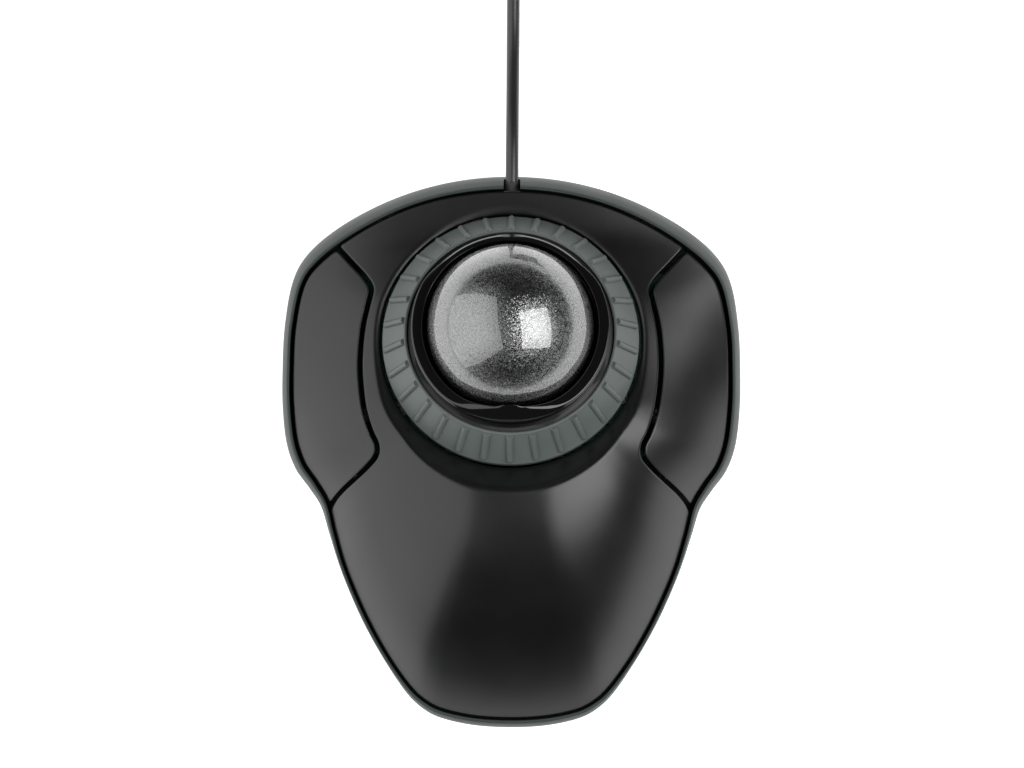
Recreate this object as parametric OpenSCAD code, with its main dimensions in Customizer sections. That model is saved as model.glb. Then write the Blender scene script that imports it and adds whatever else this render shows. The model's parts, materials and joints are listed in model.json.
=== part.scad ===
// Wired trackball mouse with a scroll ring round the ball.
// Frame: +X to the user's right, +Y to the rear where the cord leaves, +Z up.
// The origin is on the desk under the middle of the case. All sizes in mm.

/* [Ball and scroll ring] */
// Diameter of the ball
ball_d = 40; // [39.8:0.1:40]
// Lean of the ring, the collar and the ball cup towards the rear, in degrees
lean = 13.5; // [13:0.1:14]
// Distance of the ring's centre behind the middle of the case
ring_y = 27.3; // [27.1:0.1:27.5]
// Height of the middle of the ring's outer edge above the desk
ring_z = 25.4; // [25.2:0.1:25.6]
// Radius of the ring's outer edge
ring_r = 31.1; // [30.9:0.1:31.3]
// Height of the ball's centre above the ring's outer edge, along the ring's axis
ball_h = 10.8; // [10.7:0.05:10.9]
// Number of grip ribs on the ring
rib_count = 30; // [20:1:36]
// Radial running clearance between the ring and the sleeve that it turns on
ring_clear = 0.05; // [0.03:0.01:0.08]

/* [Case] */
// Thickness of the moulded shells
wall = 2; // [1.8:0.1:2.2]
// Height that the rubber feet hold the case above the desk
foot_h = 1; // [0.8:0.1:1.2]
// Gap between the rim and the top cover
seam_gap = 0.6; // [0.4:0.1:0.8]
// Gap round the two buttons
button_gap = 1.1; // [0.9:0.1:1.3]
// Gap between the ring's outer edge and the top cover
ring_gap = 0.7; // [0.5:0.1:0.9]
// Width of the flat lip on top of the rim
lip = 0.6; // [0.5:0.1:0.7]

/* [Cord] */
// Diameter of the cord
cord_d = 3.2; // [3:0.1:3.3]
// Height of the cord's centre where it leaves the case
cord_z = 12.2; // [12:0.1:12.4]
// Radius of the outermost turns of the stored coil
coil_r = 21.2; // [21:0.1:21.4]
// Turns side by side in each layer of the coil
coil_turns = 3; // [3:1:3]
// Layers of turns in the coil
coil_layers = 4; // [4:1:4]

/* [Hidden] */
$fn = 64;

// ---- case outline: front centre to rear centre, right half ----
// Each point is [x, y, width of the visible rim, height of the seam].
SIDE = [
    [0, -68.5, 2.1, 9], [9, -68, 2.1, 9], [17.2, -66.2, 2, 9], [22, -63.6, 1.8, 9.2],
    [26, -59.6, 1.5, 9.4], [31, -52.2, 1.2, 9.8], [35.6, -44.2, 1.2, 10.2],
    [39.4, -36.2, 1.2, 10.6], [42.5, -28.4, 1.2, 11], [45.1, -20.4, 1.5, 11.5],
    [47.1, -14, 1.9, 12], [50, -9.5, 2.2, 12.4], [53.6, -4.5, 2.4, 12.8],
    [55.9, 2, 2.5, 13.2], [56.9, 11, 2.5, 13.8], [57, 20, 2.5, 14.4], [56.5, 31, 2.6, 15],
    [54.6, 42, 3.1, 15.6], [50.8, 49, 3.9, 16], [43.4, 55.4, 4.2, 16.3],
    [33.4, 61.1, 4.1, 16.5], [22.8, 65.2, 4, 16.7], [11.5, 67.7, 4, 16.8], [0, 68.5, 4, 16.8]
];
// Height of the crown of the top cover, as [y, z], before the sides fall away from it.
CROWN = [
    [-70, 41], [-40, 40.7], [-20, 40.7], [-8, 40.4], [0, 39.4], [5, 37.9], [10, 35.4],
    [15, 32.8], [20, 30.5], [26, 28.2], [32, 26.2], [40, 23.6], [48, 21.2], [56, 18.7], [70, 17]
];
// Seam between the right button and the top cover, rear to front.
BUTTON_SEAM = [
    [48, 55.6], [41.6, 48.8], [38.6, 45.6], [35.8, 42.6], [34.1, 39.8], [34.6, 36.6],
    [35.8, 31], [36.4, 25], [36.4, 19], [35.4, 11], [33.6, 5], [32.1, 1.8], [32.2, -1],
    [34.5, -3.8], [37.9, -6.9], [41.3, -9.9], [44, -13.2], [47, -19]
];
out_x = 75;
samples = 2;
// Levels of the cover's surface, as shares of the way from the ring to the rim.
LEVELS = [0, 0.05, 0.1, 0.15, 0.22, 0.31, 0.42, 0.54, 0.66, 0.77, 0.87, 0.95, 1];
// How fast the cover's sides fall away from its crown
fall = 3;
// Where the hollow round the front of the ring starts, as a radius
scoop_r = 32.8;
inner_r = 29;

function spline(a, b, c, d, t) =
    b + 0.5 * t * (c - a + t * (2 * a - 5 * b + 4 * c - d + t * (3 * (b - c) + d - a)));
function closed_curve(p, n) = let (m = len(p))
    [for (i = [0:m - 1], k = [0:n - 1])
        spline(p[(i + m - 1) % m], p[i], p[(i + 1) % m], p[(i + 2) % m], k / n)];
function open_curve(p, n) = let (m = len(p) - 1)
    [for (i = [0:m - 1], k = [0:n - 1])
        spline(p[max(i - 1, 0)], p[i], p[i + 1], p[min(i + 2, m)], k / n), p[m]];
function flat(p) = [p[0], p[1]];
function unit(v) = v / norm(v);
function turned(v) = [v[1], -v[0]];

LEFT_SIDE = [for (i = [len(SIDE) - 2:-1:1]) [-SIDE[i][0], SIDE[i][1], SIDE[i][2], SIDE[i][3]]];
RIM = closed_curve(concat(SIDE, LEFT_SIDE), samples);
rim_n = len(RIM);
NORMALS = [for (i = [0:rim_n - 1])
    turned(unit(flat(RIM[(i + 1) % rim_n]) - flat(RIM[(i + rim_n - 1) % rim_n])))];
function inset(i, d) = flat(RIM[i]) - d * NORMALS[i];
EDGE = [for (i = [0:rim_n - 1]) inset(i, RIM[i][2] + seam_gap)];
CROWN_FINE = open_curve(CROWN, 4);
CENTRE = [0, ring_y];

// Height of the plane of the ring's outer edge
function ring_plane(y) = ring_z - tan(lean) * (y - ring_y);
function scoop_z(p) =
    ring_plane(p[1]) + norm([p[0], (p[1] - ring_y) / cos(lean)]) - scoop_r;
function dome_z(p, s, z) = z + (lookup(p[1], CROWN_FINE) - z) * (1 - pow(s, fall));
function cover_z(p, s, z) = min(dome_z(p, s, z), scoop_z(p));

// ---- meshes with a ring of points at each level ----
function band(a, b, n) = [for (i = [0:n - 1]) let (j = (i + 1) % n)
    each [[a + i, a + j, b + j], [a + i, b + j, b + i]]];

// The whole top skin, with the ring's hole in it and no seams yet
module top_skin(thick = wall) {
    start = [for (e = EDGE) CENTRE + inner_r * unit(e - CENTRE)];
    n = rim_n;
    m = len(LEVELS);
    plan = [for (v = LEVELS, i = [0:n - 1]) start[i] + v * (EDGE[i] - start[i])];
    top = [for (q = [0:m * n - 1]) let (i = q % n, p = plan[q])
        cover_z(p, norm(p - CENTRE) / norm(EDGE[i] - CENTRE), RIM[i][3])];
    upper = [for (q = [0:m * n - 1]) [plan[q][0], plan[q][1], top[q]]];
    lower = [for (p = upper) p - [0, 0, thick]];
    polyhedron(
        concat(upper, lower),
        concat(
            [for (k = [0:m - 2]) each band(k * n, (k + 1) * n, n)],
            [for (k = [0:m - 2]) each band((m + k + 1) * n, (m + k) * n, n)],
            band((m - 1) * n, (2 * m - 1) * n, n),
            band(m * n, 0, n)
        )
    );
}

// Trims its children to what lies under the top skin's outer face
module under_skin() {
    intersection() {
        children();
        translate([0, 0, -wall / 2]) top_skin(60);
    }
}

// ---- frames and small shared shapes ----
// Puts its children in the ring's frame: origin at the ring's outer edge plane, axis along +Z
module leaning() {
    translate([0, ring_y, ring_z]) rotate([-lean, 0, 0]) children();
}
module mirrored(side) {
    mirror([side < 0 ? 1 : 0, 0, 0]) children();
}
module tube(r_out, r_in, h) {
    difference() {
        cylinder(r = r_out, h = h);
        translate([0, 0, -1]) cylinder(r = r_in, h = h + 2);
    }
}
module screw(head_r, head_h, shank_r, shank_l) {
    difference() {
        union() {
            cylinder(r = head_r, h = head_h);
            translate([0, 0, head_h]) cylinder(r = shank_r, h = shank_l);
        }
        for (a = [0, 90]) {
            rotate([0, 0, a]) translate([0, 0, head_h / 4]) {
                cube([head_r * 1.2, head_r * 0.3, head_h / 2 + 0.01], center = true);
            }
        }
    }
}

// ---- fixings inside the case ----
floor_z = foot_h + wall;
CASE_SCREWS = [[30, 53], [-30, 53], [22, -45], [-22, -45]];
boss_r = 3.4;
boss_top = 8;
screw_r = 1.3;
screw_head_r = 2.6;
screw_head_h = 1.6;
head_seat = foot_h + 2.2;
BOARD_SCREWS = [[36, 9], [-36, 9], [0, 46]];
board_z = 4.6;
board_t = 1.6;
board_top = board_z + board_t;
LUG_ANGLES = [30, 150, 270];
lug_at = 24.6;
lug_r = 3.2;
lug_low = -11;
lug_high = -8.6;

// ---- button hinge ----
hinge_y = -6;
hinge_z = 11;
hinge_x = 41.5;
pin_r = 1;
barrel_r = 2.2;
barrel_l = 3.4;
ear_gap = 3.8;
ear_t = 1.6;
hinge_clear = 0.05;

// ---- rim and base ----
belly_z = foot_h + 3;
// Each level of the base is [inset, share of the rim's width, height, share of the seam's rise].
BASE_LEVELS = [
    [2.4, 0, foot_h, 0], [0.9, 0, foot_h + 0.6, 0], [0.2, 0, foot_h + 1.7, 0], [0, 0, belly_z, 0],
    [0, 0.2, belly_z, 0.4], [0, 0.52, belly_z, 0.72], [0, 1, belly_z, 1],
    [lip, 1, belly_z, 1], [lip, 1, floor_z, 0]
];
module base_tub() {
    n = rim_n;
    m = len(BASE_LEVELS);
    points = [for (v = BASE_LEVELS, i = [0:n - 1]) let (w = RIM[i][2] - lip, z = RIM[i][3])
        concat(inset(i, v[0] + v[1] * w), v[2] + v[3] * (z - belly_z))];
    polyhedron(points, concat(
        [for (k = [0:m - 2]) each band((k + 1) * n, k * n, n)],
        [[for (i = [0:n - 1]) i]],
        [[for (i = [n - 1:-1:0]) (m - 1) * n + i]]
    ));
}
module cup_post(a) {
    intersection() {
        leaning() rotate([0, 0, a]) translate([lug_at, 0, lug_low - 40]) {
            cylinder(r = lug_r, h = 40);
        }
        translate([-60, -60, foot_h + wall / 2]) cube([120, 120, 60]);
    }
}
module hinge_ears(side) {
    mirrored(side) for (s = [-1, 1]) {
        translate([hinge_x + s * (ear_gap + ear_t) / 2 - ear_t / 2, hinge_y, 0]) {
            difference() {
                union() {
                    translate([0, -barrel_r, floor_z - 0.5]) {
                        cube([ear_t, 2 * barrel_r, hinge_z - floor_z + 0.5]);
                    }
                    translate([0, 0, hinge_z]) rotate([0, 90, 0]) cylinder(r = barrel_r, h = ear_t);
                }
                translate([-1, 0, hinge_z]) rotate([0, 90, 0]) cylinder(r = pin_r, h = ear_t + 2);
            }
        }
    }
}
module base_shell() {
    color([0.35, 0.39, 0.37]) difference() {
        union() {
            difference() {
                base_tub();
                cord_notch();
            }
            for (p = CASE_SCREWS) {
                translate([p[0], p[1], floor_z - 0.5]) cylinder(r = boss_r, h = boss_top - floor_z + 0.5);
            }
            for (p = BOARD_SCREWS) {
                translate([p[0], p[1], floor_z - 0.5]) cylinder(r = 2.4, h = board_z - floor_z + 0.5);
            }
            for (a = LUG_ANGLES) {
                cup_post(a);
            }
            hinge_ears(1);
            hinge_ears(-1);
        }
        for (p = CASE_SCREWS) {
            translate([p[0], p[1], 0]) {
                cylinder(r = screw_r + 0.2, h = 20);
                cylinder(r = screw_head_r + 0.3, h = head_seat);
            }
        }
        for (p = BOARD_SCREWS) {
            translate([p[0], p[1], foot_h + 0.8]) cylinder(r = 0.9, h = 6);
        }
        for (a = LUG_ANGLES) {
            leaning() rotate([0, 0, a]) translate([lug_at, 0, lug_low - 7]) cylinder(r = 1, h = 8);
        }
        feet(0);
        label_block(0);
    }
}
module cord_notch() {
    translate([0, 60, cord_z]) rotate([-90, 0, 0]) cylinder(r = cord_d / 2 + 0.45, h = 20);
    translate([-cord_d / 2 - 0.45, 60, cord_z]) cube([cord_d + 0.9, 20, 20]);
}

// ---- feet and label ----
front_foot_y = -56;
module feet(gap) {
    translate([-8, front_foot_y, 0]) {
        linear_extrude(foot_h + 0.5) {
            translate([0, -4]) square([16, 8]);
            for (x = [0, 16]) {
                translate([x, 0]) circle(r = 4);
            }
        }
    }
    for (s = [-1, 1], p = [[41, 38], [39, -6]]) {
        translate([s * p[0], p[1], 0]) cylinder(r = 5, h = foot_h + 0.5 - gap);
    }
}
module label_block(gap) {
    translate([-19 + gap, -32 + gap, foot_h - 0.3]) cube([38 - 2 * gap, 24 - 2 * gap, 0.6 - gap]);
}
module rubber_feet() {
    color([0.08, 0.08, 0.08]) feet(0);
}
module blank_label() {
    color([0.75, 0.76, 0.76]) translate([-18.8, -31.8, foot_h]) cube([37.6, 23.6, 0.3]);
}

// ---- top cover and buttons ----
function seam_line(d) = let (c = open_curve(BUTTON_SEAM, 2), m = len(c) - 1)
    [for (i = [0:m]) c[i] + d * turned(unit(c[min(i + 1, m)] - c[max(i - 1, 0)]))];
// The button's side of its seam, moved outwards by d from the seam's middle
module button_field(d) {
    s = seam_line(-d);
    linear_extrude(60) polygon(concat(s, [[out_x, s[len(s) - 1][1]], [out_x, s[0][1]]]));
}
module ring_hole() {
    leaning() translate([0, 0, -20]) cylinder(r = ring_r + ring_gap, h = 60, $fn = 96);
}
// resize() keeps its children's size here: it makes them one mesh, which builds in seconds.
module top_cover() {
    color([0.09, 0.09, 0.095]) resize([0, 0, 0]) union() {
        difference() {
            top_skin();
            button_field(-button_gap / 2);
            mirror([1, 0, 0]) button_field(-button_gap / 2);
            ring_hole();
        }
        under_skin() for (p = CASE_SCREWS) {
            translate([p[0], p[1], boss_top]) tube(2.8, screw_r, 30, $fn = 32);
        }
    }
}
switch_x = 43;
plunger_y = 22;
plunger_top = 13.4;
module button_plate() {
    resize([0, 0, 0]) union() {
        intersection() {
            top_skin();
            button_field(button_gap / 2);
            linear_extrude(60) polygon([for (i = [0:rim_n - 1]) inset(i, RIM[i][2] + 1)]);
        }
        under_skin() {
            translate([hinge_x - barrel_l / 2, hinge_y - 1.5, hinge_z + pin_r + 0.6]) {
                cube([barrel_l, 3, 20]);
            }
            translate([switch_x - 1.5, plunger_y - 2, plunger_top + 0.05]) cube([3, 4, 20]);
        }
    }
}
module button(side) {
    color([0.1, 0.1, 0.105]) mirrored(side) union() {
        button_plate();
        translate([hinge_x - barrel_l / 2, hinge_y, hinge_z]) rotate([0, 90, 0]) {
            tube(barrel_r, pin_r + hinge_clear, barrel_l);
        }
    }
}
module hinge_pin(side) {
    l = ear_gap + 2 * ear_t;
    color("silver") mirrored(side) {
        translate([hinge_x - l / 2, hinge_y, hinge_z]) rotate([0, 90, 0]) cylinder(r = pin_r, h = l);
    }
}
module left_button() {
    button(-1);
}
module right_button() {
    button(1);
}
module left_hinge_pin() {
    hinge_pin(-1);
}
module right_hinge_pin() {
    hinge_pin(1);
}

// ---- scroll ring, its sleeve and the collar: outlines are [radius, height] ----
ring_in = 24.9;
sleeve_r = 25.7;
sleeve_top = 5.1;
// Outer radius of the collar where it stands on the cup
neck_r = 22.75;
ring_bore = sleeve_r + ring_clear;
ring_top = 7.3;
skirt_in = 28.4;
skirt_out = 29.6;
skirt_low = -8;
module rib(r) {
    foot = [ring_r - 0.9, 1.1];
    head = [ring_in + 1.1, 6.5];
    slope = head - foot;
    translate([foot[0], 0, foot[1]]) rotate([0, atan2(slope[0], slope[1]), 0]) {
        cylinder(r = r, h = norm(slope), $fn = 24);
        sphere(r = r, $fn = 24);
        translate([0, 0, norm(slope)]) sphere(r = r, $fn = 24);
    }
}
module scroll_ring() {
    color([0.45, 0.48, 0.47]) leaning() difference() {
        union() {
            rotate_extrude($fn = 180) polygon([
                [ring_bore, -3], [skirt_in, -3], [skirt_in, skirt_low], [skirt_out, skirt_low],
                [skirt_out, -1.8], [ring_r - 0.3, -1.8], [ring_r, -1.5], [ring_r, 0],
                [ring_r - 0.3, 0.3], [ring_in + 0.8, ring_top - 0.4],
                [ring_in + 0.7, ring_top - 0.15],
                [ring_in + 0.3, ring_top], [ring_in, ring_top - 0.2], [ring_in, 6.4], [ring_bore, 6.4]
            ]);
            for (i = [0:rib_count - 1]) {
                rotate([0, 0, -90 + i * 360 / rib_count]) rib(0.75);
            }
        }
        for (i = [0:23]) {
            rotate([0, 0, i * 15]) translate([skirt_in - 1, -1.6, skirt_low + 1]) {
                cube([4, 3.2, 3]);
            }
        }
    }
}
module ring_retainer() {
    color([0.05, 0.05, 0.055]) leaning() translate([0, 0, sleeve_top]) tube(sleeve_r - 0.5, neck_r, 1.2);
}
collar_in = 21.05;
collar_out = 23.6;
module ball_collar() {
    color([0.03, 0.03, 0.03]) leaning() rotate_extrude($fn = 180) polygon([
        [neck_r, 6.3], [collar_out, 6.3], [collar_out, 11.9], [23.2, 12.7], [22.6, 13.5],
        [21.9, 14.1], [21.4, 14.2], [collar_in, 13.8], [collar_in, 9.1], [neck_r, 9.1]
    ]);
}
module ball() {
    color([0.6, 0.6, 0.6]) leaning() translate([0, 0, ball_h]) sphere(d = ball_d, $fn = 96);
}
socket_r = 21;
bearing_r = 1.25;
bearing_angle = 55;
module bearing_balls() {
    reach = ball_d / 2 + bearing_r + 0.02;
    for (a = [90, 210, 330]) {
        rotate([0, 0, a]) {
            translate([reach * sin(bearing_angle), 0, ball_h - reach * cos(bearing_angle)]) {
                sphere(r = bearing_r);
            }
        }
    }
}
lens_r = 3.9;
led_at = 8;
module ball_cup() {
    color([0.16, 0.16, 0.17]) leaning() difference() {
        union() {
            rotate_extrude($fn = 128) polygon([
                [0, -12.2], [15.5, -12.2], [21.8, -7.6], [21.8, -4.6], [27.4, -4.6], [27.4, -3.1],
                [sleeve_r, -3.1], [sleeve_r, sleeve_top], [22.7, sleeve_top], [22.7, 9.1], [0, 9.1]
            ]);
            for (a = LUG_ANGLES) {
                rotate([0, 0, a]) {
                    translate([lug_at, 0, lug_low]) cylinder(r = lug_r, h = lug_high - lug_low);
                    translate([16, -lug_r, lug_low]) cube([lug_at - 16, 2 * lug_r, lug_high - lug_low]);
                }
            }
        }
        translate([0, 0, ball_h]) sphere(r = socket_r, $fn = 128);
        translate([0, 0, -20]) cylinder(r = lens_r + 0.1, h = 15);
        translate([0, led_at, -20]) cylinder(r = 1.6, h = 15);
        bearing_balls();
        for (a = LUG_ANGLES) {
            rotate([0, 0, a]) translate([lug_at, 0, lug_low - 1]) cylinder(r = 1.2, h = 5);
        }
    }
}
module support_bearings() {
    color("ivory") leaning() bearing_balls();
}
module cup_screws() {
    color("silver") leaning() for (a = LUG_ANGLES) {
        rotate([0, 0, a]) translate([lug_at, 0, lug_high + 1.5]) rotate([180, 0, 0]) {
            screw(2.2, 1.5, 1, 8);
        }
    }
}

// ---- optical sensor under the ball ----
sensor_z = -15;
module sensor_board() {
    color([0.05, 0.3, 0.12]) leaning() difference() {
        translate([-9, -9, sensor_z]) cube([18, 20, 1.2]);
        translate([0, 0, sensor_z - 1]) cylinder(r = 2.5, h = 4);
    }
}
module sensor_chip() {
    color([0.06, 0.06, 0.06]) leaning() translate([-5, -6, sensor_z - 2.2]) cube([10, 12, 2.2]);
}
module sensor_lens() {
    color([0.9, 0.95, 1]) leaning() {
        translate([0, 0, sensor_z + 1.2]) cylinder(r = 5.5, h = 1.6);
        translate([0, 0, sensor_z + 2.7]) cylinder(r = lens_r, h = 1.4);
    }
}
module sensor_led() {
    color([0.9, 0.2, 0.2]) leaning() translate([0, led_at, sensor_z + 1.2]) {
        cylinder(r = 1.5, h = 2);
        translate([0, 0, 2]) sphere(r = 1.5);
    }
}
module sensor_ribbon() {
    // A flat flexible lead from the sensor's board down to the main board
    color([0.8, 0.78, 0.7]) translate([-4, 0, 0]) rotate([90, 0, 90]) linear_extrude(8) {
        polygon([
            [14.9, 13.6], [11.6, 13.4], [10, 12.3], [9.6, 10], [9.6, board_top], [10, board_top],
            [10, 9.9], [10.4, 11.9], [11.7, 12.9], [14.9, 13.1]
        ]);
    }
}

// ---- main board ----
BOARD = [
    [0, -3], [30, -3], [46, 8], [49, 20], [49, 34], [38, 44], [22, 50], [14, 61], [0, 61]
];
module main_board() {
    outline = concat(BOARD, [for (i = [len(BOARD) - 2:-1:1]) [-BOARD[i][0], BOARD[i][1]]]);
    color([0.05, 0.32, 0.14]) difference() {
        translate([0, 0, board_z]) linear_extrude(board_t) polygon(outline);
        for (p = BOARD_SCREWS) {
            translate([p[0], p[1], 0]) cylinder(r = 1.1, h = 20);
        }
        for (a = LUG_ANGLES) {
            leaning() rotate([0, 0, a]) translate([lug_at, 0, -40]) cylinder(r = lug_r + 0.8, h = 40);
        }
    }
}
module board_screws() {
    color("silver") for (p = BOARD_SCREWS) {
        translate([p[0], p[1], board_top + 1.2]) rotate([180, 0, 0]) screw(1.8, 1.2, 0.9, 4);
    }
}
module microcontroller() {
    color([0.06, 0.06, 0.06]) translate([-27, 18, board_top]) cube([9, 9, 1.2]);
    color("silver") for (i = [0:6], s = [-1, 1]) {
        translate([-26 + i * 1.1, 22.5 + s * 5.2 - 0.75, board_top]) cube([0.4, 1.5, 0.5]);
    }
}
module board_parts() {
    // Crystal, a row of small capacitors and an electrolytic capacitor
    color("silver") translate([-28, 9, board_top]) linear_extrude(3) {
        square([7, 3]);
        for (x = [0, 7]) {
            translate([x, 1.5]) circle(r = 1.5);
        }
    }
    color([0.5, 0.4, 0.3]) for (i = [0:4]) {
        translate([17 + i * 2.6, 12, board_top]) cube([1.3, 2.2, 0.9]);
    }
    color([0.2, 0.2, 0.4]) translate([26, 26, board_top]) cylinder(r = 2.5, h = 5);
}
sensor_turn = 30;
module ring_sensor() {
    // U-shaped light barrier that the ring's slotted skirt passes through
    at = [(skirt_in + skirt_out) / 2 * sin(sensor_turn), ring_y + 29 * cos(sensor_turn) * cos(lean) - 1.2];
    color([0.07, 0.07, 0.08]) translate([at[0], at[1], board_top]) rotate([0, 0, -sensor_turn]) {
        difference() {
            translate([-5, -4.4, 0]) cube([10, 8.8, 8.6]);
            translate([-6, -1.9, 3.4]) cube([12, 3.8, 8]);
        }
    }
}
SWITCH = [6, 13, 6.5];
module switch_body(side) {
    color([0.12, 0.12, 0.13]) mirrored(side) difference() {
        translate([switch_x - SWITCH[0] / 2, 17.5, board_top]) cube(SWITCH);
        translate([switch_x - 1.05, plunger_y - 1.6, board_top + 3]) cube([2.1, 3.2, 8]);
    }
}
module plunger(side) {
    color([0.85, 0.85, 0.8]) mirrored(side) {
        translate([switch_x - 1, plunger_y - 1.55, board_top + 4]) {
            cube([2, 3.1, plunger_top - board_top - 4]);
        }
    }
}
module left_switch() {
    switch_body(-1);
}
module right_switch() {
    switch_body(1);
}
module left_plunger() {
    plunger(-1);
}
module right_plunger() {
    plunger(1);
}

// ---- cord ----
cord_r = cord_d / 2;
function swept_ring(p, t, r, n) = let (side = unit(cross(t, [0.01, 0.02, 1])), up = cross(side, t))
    [for (k = [0:n - 1]) p + r * (cos(360 * k / n) * side + sin(360 * k / n) * up)];
module sweep(path, r, n = 8) {
    m = len(path);
    rings = [for (i = [0:m - 1])
        each swept_ring(path[i], unit(path[min(i + 1, m - 1)] - path[max(i - 1, 0)]), r, n)];
    polyhedron(rings, concat(
        [for (k = [0:m - 2]) each band(k * n, (k + 1) * n, n)],
        [[for (i = [0:n - 1]) n - 1 - i]],
        [[for (i = [0:n - 1]) (m - 1) * n + i]]
    ));
}
coil_lift = 0.5;
coil_x = coil_r;
coil_y = 142;
LEAD_ROUTE = [
    [0, 60, cord_z], [0, 64, cord_z], [0, 68, cord_z], [0, 72, 11.9], [0, 76, 11.3],
    [0, 80, 10.2], [0, 84, 8.8], [0, 88, 7.2], [0, 92, 5.6], [0, 96, 4.2], [0, 100, 3],
    [0, 104, 2.2], [0, 108, 1.8], [0, 114, 1.7], [0, 120, 1.9], [0, 125, 2.1], [0, 130, 2.1]
];
// The cord comes off the coil's top, slides down outside it and runs out to the plug.
TAIL_ROUTE = [
    [7, 123.4, 11.5], [1.8, 129.8, 10.4], [-1.6, 135.8, 8.8], [-3.2, 142, 7], [-2.6, 149, 5.2],
    [0.4, 155.2, 3.7], [4.6, 160.4, 2.6], [9.8, 164, 1.9], [15.6, 166, 1.6], [21.2, 166.6, 1.6],
    [27, 166.7, 1.7], [32, 166.8, 2.1], [36, 166.8, 2.9], [40, 166.8, 3.6], [44, 166.8, 4]
];
module cord_lead() {
    color([0.06, 0.06, 0.06]) sweep(LEAD_ROUTE, cord_r);
}
module cord_tail() {
    color([0.06, 0.06, 0.06]) sweep(TAIL_ROUTE, cord_r);
}
coil_in = coil_r - cord_d * coil_turns + cord_r;
coil_out = coil_r + cord_r;
coil_high = coil_layers * cord_d;
module cord_coil() {
    color([0.06, 0.06, 0.06]) translate([coil_x, coil_y, coil_lift]) tube(coil_out, coil_in, coil_high);
}
module cord_tie() {
    color([0.05, 0.05, 0.05]) translate([coil_x, coil_y, 0]) rotate([0, 0, -8]) {
        rotate_extrude(angle = 16) difference() {
            translate([coil_in - 0.5, 0]) square([coil_out - coil_in + 1, coil_high + 1]);
            translate([coil_in, coil_lift]) square([coil_out - coil_in, coil_high]);
        }
    }
}
module cord_gland() {
    color([0.05, 0.05, 0.05]) difference() {
        union() {
            translate([-3.4, 58.4, board_top]) cube([6.8, 2, 8]);
            translate([-3.4, 62.2, 9.4]) cube([6.8, 1.7, 4.8]);
            translate([0, 58.4, cord_z]) rotate([-90, 0, 0]) cylinder(r = 2, h = 8);
        }
        translate([0, 55, cord_z]) rotate([-90, 0, 0]) cylinder(r = cord_r + 0.03, h = 15);
    }
}
module lead_connector() {
    color([0.9, 0.9, 0.88]) difference() {
        translate([-12.5, 54.6, board_top]) cube([6, 5.4, 4.2]);
        translate([-8, 55.4, board_top + 1]) cube([2, 3.8, 2.2]);
    }
}
module inner_lead() {
    color([0.1, 0.1, 0.1]) sweep(open_curve([
        [0, 59.9, cord_z], [-0.4, 58.9, 11.8], [-1.6, 58, 10.6], [-3.4, 57.5, 9.1],
        [-5.4, 57.3, 8.4], [-7.8, 57.3, 8.3]
    ], 2), 0.9);
}

// ---- case screws ----
module case_screws() {
    color("silver") for (p = CASE_SCREWS) {
        translate([p[0], p[1], head_seat - screw_head_h]) {
            screw(screw_head_r, screw_head_h, screw_r, 8.5);
        }
    }
}

// ---- plug on the end of the cord, along +X ----
plug_x = 44;
plug_y = 166.8;
plug_z = 4;
body_l = 24;
BODY = [16, 8];
SHELL = [12, 4.5];
shell_l = 12;
shell_t = 0.35;
module plug_body() {
    color([0.06, 0.06, 0.06]) translate([plug_x, plug_y, plug_z]) difference() {
        union() {
            rotate([0, 90, 0]) cylinder(r = 2.6, h = 9);
            translate([8, -BODY[0] / 2, -BODY[1] / 2]) cube([body_l - 8, BODY[0], BODY[1]]);
        }
        translate([body_l - 4, -SHELL[0] / 2, -SHELL[1] / 2]) cube([5, SHELL[0], SHELL[1]]);
    }
}
module plug_shell() {
    color("silver") translate([plug_x + body_l - 4, plug_y, plug_z]) difference() {
        translate([0, -SHELL[0] / 2, -SHELL[1] / 2]) cube([shell_l + 4, SHELL[0], SHELL[1]]);
        translate([1, -SHELL[0] / 2 + shell_t, -SHELL[1] / 2 + shell_t]) {
            cube([shell_l + 4, SHELL[0] - 2 * shell_t, SHELL[1] - 2 * shell_t]);
        }
        for (y = [-2.6, 2.6]) {
            translate([shell_l - 2.5, y - 1, -SHELL[1]]) cube([2.2, 2, 2 * SHELL[1]]);
        }
    }
}
module plug_tongue() {
    color([0.9, 0.9, 0.9]) translate([plug_x + body_l - 3, plug_y, plug_z]) {
        translate([0, -SHELL[0] / 2 + shell_t, -SHELL[1] / 2 + shell_t]) {
            cube([shell_l + 2.6, SHELL[0] - 2 * shell_t, 1.8]);
        }
    }
}
module plug_contacts() {
    color("gold") for (i = [-1.5:1:1.5]) {
        translate([plug_x + body_l - 2.4, plug_y + i * 2.4 - 0.55, plug_z - SHELL[1] / 2 + shell_t + 1.8]) {
            cube([shell_l + 1.2, 1.1, 0.15]);
        }
    }
}

base_shell();
top_cover();
left_button();
right_button();
left_hinge_pin();
right_hinge_pin();
scroll_ring();
ring_retainer();
ball_collar();
ball();
ball_cup();
support_bearings();
cup_screws();
sensor_board();
sensor_chip();
sensor_lens();
sensor_led();
sensor_ribbon();
main_board();
board_screws();
microcontroller();
board_parts();
ring_sensor();
left_switch();
right_switch();
left_plunger();
right_plunger();
lead_connector();
inner_lead();
cord_gland();
rubber_feet();
case_screws();
blank_label();
cord_lead();
cord_coil();
cord_tie();
cord_tail();
plug_body();
plug_shell();
plug_tongue();
plug_contacts();
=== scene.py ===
"""Looks of the trackball mouse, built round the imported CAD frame.

Lengths are in metres. MM turns the CAD's millimetres into metres, so that outlines read as they
do there. Outlines and routes in capitals are in millimetres.
"""

import json
import math

import bmesh
import bpy
import numpy as np
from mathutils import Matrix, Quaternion, Vector, kdtree
from mathutils.geometry import delaunay_2d_cdt

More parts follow.
